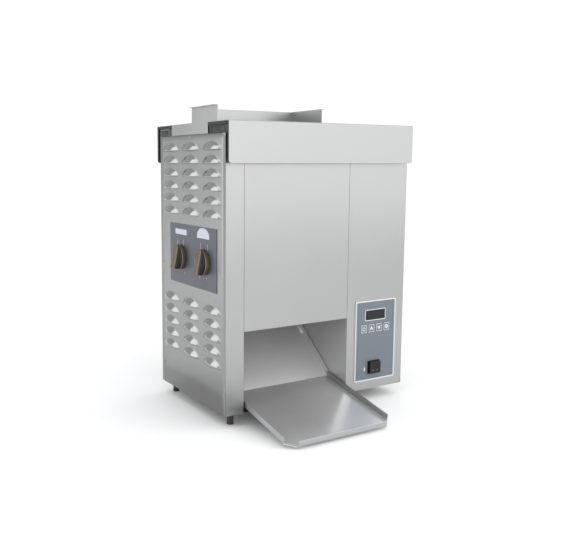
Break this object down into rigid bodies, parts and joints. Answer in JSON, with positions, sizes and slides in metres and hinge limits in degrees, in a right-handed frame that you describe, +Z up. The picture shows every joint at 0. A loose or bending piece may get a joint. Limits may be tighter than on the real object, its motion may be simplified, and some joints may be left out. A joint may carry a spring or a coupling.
{
  "type": "vertical bun toaster",
  "caption": "Upright stainless contact toaster for buns: top slots and feeder, louvred sides with thickness knobs, control column and a tilted landing tray.",
  "frame": {"origin": "middle of the whole machine's bounding box, on the surface that its feet stand on", "axes": "+X to the machine's right as seen from the front, +Y from the front to the back, +Z up"},
  "size_m": [0.4654, 0.4372, 0.6],
  "materials": {
    "casing_steel": "satin stainless sheet, fine grain",
    "inner_steel": "plain stainless sheet",
    "hood_steel": "satin stainless sheet, fine grain",
    "tray_steel": "satin stainless sheet",
    "screw_steel": "plain",
    "foot_rubber": "matt",
    "black_plastic": "moulded, semi-gloss",
    "seal_rubber": "matt",
    "white_plastic": "moulded",
    "frame_silver": "light satin print",
    "overlay_film": "fine textured film",
    "key_film": "fine textured film with light outlines",
    "display_lens": "smoked, glossy",
    "board_green": "solder mask",
    "switch_plastic": "moulded, semi-gloss",
    "plate_slate": "fine textured film on metal",
    "knob_plastic": "moulded, brown with worn tan edges",
    "shaft_steel": "turned",
    "bush_bronze": "sintered bronze",
    "belt_mat": "coated glass weave",
    "roller_aluminium": "turned",
    "gear_nylon": "moulded",
    "motor_grey": "satin paint",
    "platen_aluminium": "coated plate, heat tinted"
  },
  "bodies": {
    "root": {"base_pan": "casing_steel", "left_side_panel": "casing_steel", "right_side_panel": "casing_steel", "left_pillar": "casing_steel", "front_panel": "casing_steel", "cabinet_front": "casing_steel", "rear_panel": "casing_steel", "inner_wall_left": "inner_steel", "inner_wall_right": "inner_steel", "case_screws": "screw_steel", "feet": "foot_rubber", "cable_gland": "black_plastic", "tray_supports": "inner_steel", "bun_slide": "tray_steel", "slide_clip": "white_plastic", "panel_frame": "frame_silver", "panel_overlay": "overlay_film", "display_window": "display_lens", "display_board": "board_green", "switch_housing": "switch_plastic", "knob_plate": "plate_slate", "cam_bushes": "bush_bronze", "drive_bushes": "bush_bronze", "gear_motor": "motor_grey", "motor_bracket": "inner_steel", "platen_front_plate": "platen_aluminium", "platen_rear_plate": "platen_aluminium", "platen_core": "inner_steel", "heating_elements": "shaft_steel", "platen_brackets": "inner_steel", "fan_housing": "black_plastic", "control_board": "board_green", "terminal_block": "gear_nylon"},
    "hood": {"hood": "hood_steel", "hood_end_seals": "seal_rubber", "hood_spacers_front": "black_plastic", "hood_spacers_rear": "black_plastic"},
    "feeder": {"bun_feeder": "hood_steel"},
    "tray": {"landing_tray": "tray_steel"},
    "key_mode_cap": {"key_mode": "key_film"},
    "key_up_cap": {"key_up": "key_film"},
    "key_down_cap": {"key_down": "key_film"},
    "key_start_cap": {"key_start": "key_film"},
    "rocker": {"switch_rocker": "switch_plastic"},
    "crown_knob_shaft": {"crown_knob": "knob_plastic", "crown_cam_shaft": "shaft_steel"},
    "heel_knob_shaft": {"heel_knob": "knob_plastic", "heel_cam_shaft": "shaft_steel"},
    "crown_conveyor": {"crown_belt_frame": "inner_steel", "crown_belt": "belt_mat"},
    "heel_conveyor": {"heel_belt_frame": "inner_steel", "heel_belt": "belt_mat"},
    "crown_drive": {"crown_drive_roller": "roller_aluminium", "crown_drive_gear": "gear_nylon"},
    "heel_drive": {"heel_drive_roller": "roller_aluminium", "heel_drive_gear": "gear_nylon"},
    "crown_idler": {"crown_idler_roller": "roller_aluminium"},
    "heel_idler": {"heel_idler_roller": "roller_aluminium"},
    "pinion": {"motor_pinion": "gear_nylon"},
    "fan": {"fan_rotor": "gear_nylon"}
  },
  "joints": [
    {"name": "hood_lift", "type": "slide", "parent": "root", "child": "hood", "axis": [0, 0, 1], "range_m": [0, 0.09]},
    {"name": "feeder_lift", "type": "slide", "parent": "hood", "child": "feeder", "axis": [0, 0, 1], "range_m": [0, 0.06]},
    {"name": "tray_pull", "type": "slide", "parent": "root", "child": "tray", "axis": [0, -1, 0], "range_m": [0, 0.2]},
    {"name": "crown_tilt", "type": "hinge", "parent": "root", "child": "crown_conveyor", "pos_m": [-0.06025, 0.01059, 0.488], "axis": [1, 0, 0], "range_deg": [-1.8, 1.8]},
    {"name": "heel_tilt", "type": "hinge", "parent": "root", "child": "heel_conveyor", "pos_m": [-0.06025, 0.10859, 0.488], "axis": [1, 0, 0], "range_deg": [-1.8, 1.8]},
    {"name": "crown_knob_turn", "type": "hinge", "parent": "root", "child": "crown_knob_shaft", "pos_m": [-0.21025, 0.01059, 0.3065], "axis": [1, 0, 0], "range_deg": [-135.5, 135.5]},
    {"name": "heel_knob_turn", "type": "hinge", "parent": "root", "child": "heel_knob_shaft", "pos_m": [-0.21025, 0.10859, 0.3065], "axis": [1, 0, 0], "range_deg": [-135.5, 135.5]},
    {"name": "crown_drive_spin", "type": "hinge", "parent": "root", "child": "crown_drive", "pos_m": [-0.06025, 0.01059, 0.488], "axis": [1, 0, 0], "continuous": true},
    {"name": "heel_drive_spin", "type": "hinge", "parent": "root", "child": "heel_drive", "pos_m": [-0.06025, 0.10859, 0.488], "axis": [1, 0, 0], "continuous": true},
    {"name": "crown_idler_spin", "type": "hinge", "parent": "crown_conveyor", "child": "crown_idler", "pos_m": [-0.06025, 0.01059, 0.232], "axis": [1, 0, 0], "continuous": true},
    {"name": "heel_idler_spin", "type": "hinge", "parent": "heel_conveyor", "child": "heel_idler", "pos_m": [-0.06025, 0.10859, 0.232], "axis": [1, 0, 0], "continuous": true},
    {"name": "pinion_spin", "type": "hinge", "parent": "root", "child": "pinion", "pos_m": [0.08455, 0.01059, 0.411], "axis": [1, 0, 0], "continuous": true},
    {"name": "fan_spin", "type": "hinge", "parent": "root", "child": "fan", "pos_m": [0.16215, 0.18939, 0.3], "axis": [0, 1, 0], "continuous": true},
    {"name": "rocker_tilt", "type": "hinge", "parent": "root", "child": "rocker", "pos_m": [0.1475, -0.06841, 0.071], "axis": [0, 0, -1], "range_deg": [0, 8]},
    {"name": "key_mode_press", "type": "slide", "parent": "root", "child": "key_mode_cap", "axis": [0, 1, 0], "range_m": [0, 0.0006], "stiffness_N_per_m": 1500},
    {"name": "key_up_press", "type": "slide", "parent": "root", "child": "key_up_cap", "axis": [0, 1, 0], "range_m": [0, 0.0006], "stiffness_N_per_m": 1500},
    {"name": "key_down_press", "type": "slide", "parent": "root", "child": "key_down_cap", "axis": [0, 1, 0], "range_m": [0, 0.0006], "stiffness_N_per_m": 1500},
    {"name": "key_start_press", "type": "slide", "parent": "root", "child": "key_start_cap", "axis": [0, 1, 0], "range_m": [0, 0.0006], "stiffness_N_per_m": 1500}
  ],
  "couplings": [
    {"joint": "crown_knob_turn", "follows": "crown_tilt", "ratio": 75},
    {"joint": "heel_knob_turn", "follows": "heel_tilt", "ratio": 75},
    {"joint": "heel_drive_spin", "follows": "crown_drive_spin", "ratio": -1},
    {"joint": "crown_idler_spin", "follows": "crown_drive_spin", "ratio": 1},
    {"joint": "heel_idler_spin", "follows": "crown_drive_spin", "ratio": -1},
    {"joint": "pinion_spin", "follows": "crown_drive_spin", "ratio": -1.75}
  ]
}
